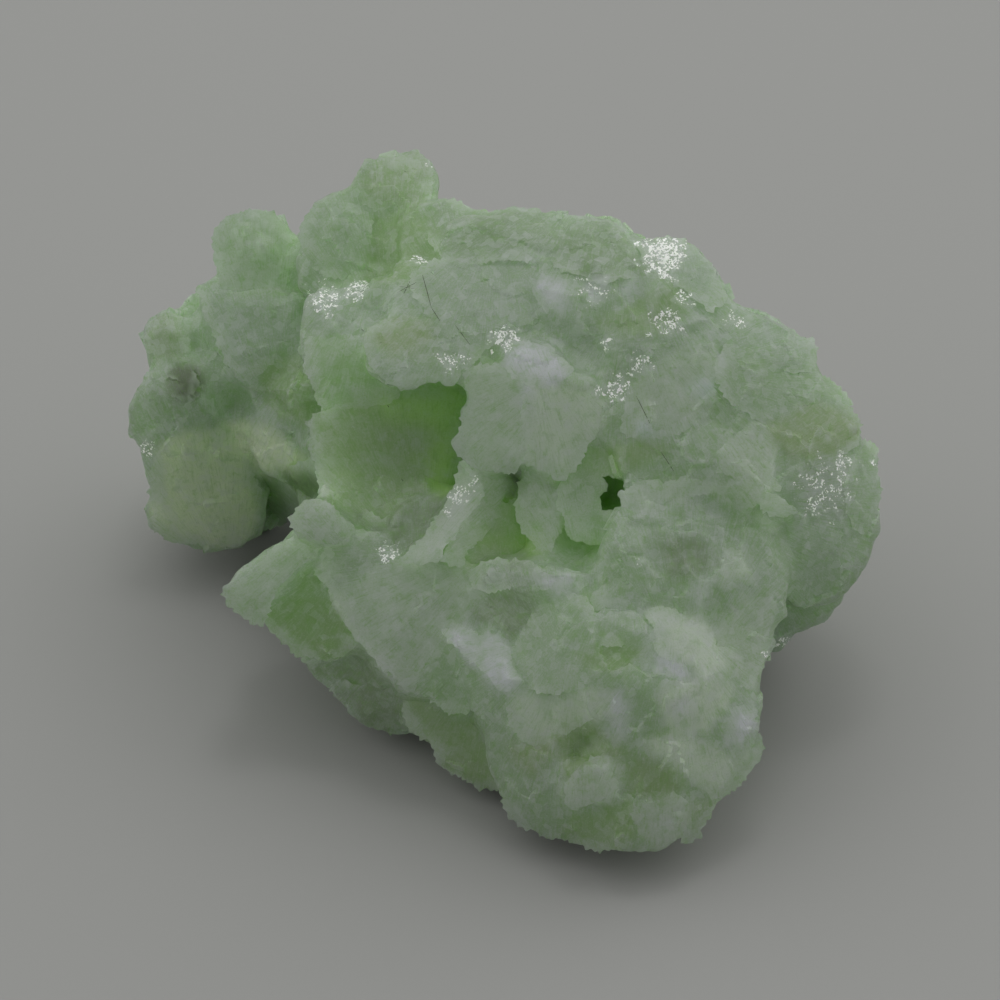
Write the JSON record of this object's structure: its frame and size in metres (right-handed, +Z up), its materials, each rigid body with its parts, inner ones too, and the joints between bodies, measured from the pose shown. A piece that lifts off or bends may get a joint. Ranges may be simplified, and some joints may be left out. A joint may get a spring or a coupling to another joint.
{
  "type": "prehnite crystal cluster",
  "caption": "Hand specimen of pale green prehnite: overlapping, broken leaf-like crystals grown together as one stone that rests on its broken feet.",
  "frame": {"origin": "on the table, under the middle of the cluster's bounding box", "axes": "+Z up, +X to the right and +Y away as the specimen is seen from its front"},
  "size_m": [0.0614, 0.0544, 0.0344],
  "materials": {
    "prehnite": "waxy to glassy, cloudy pale green"
  },
  "bodies": {
    "root": {"prehnite_cluster": "prehnite"}
  },
  "joints": []
}
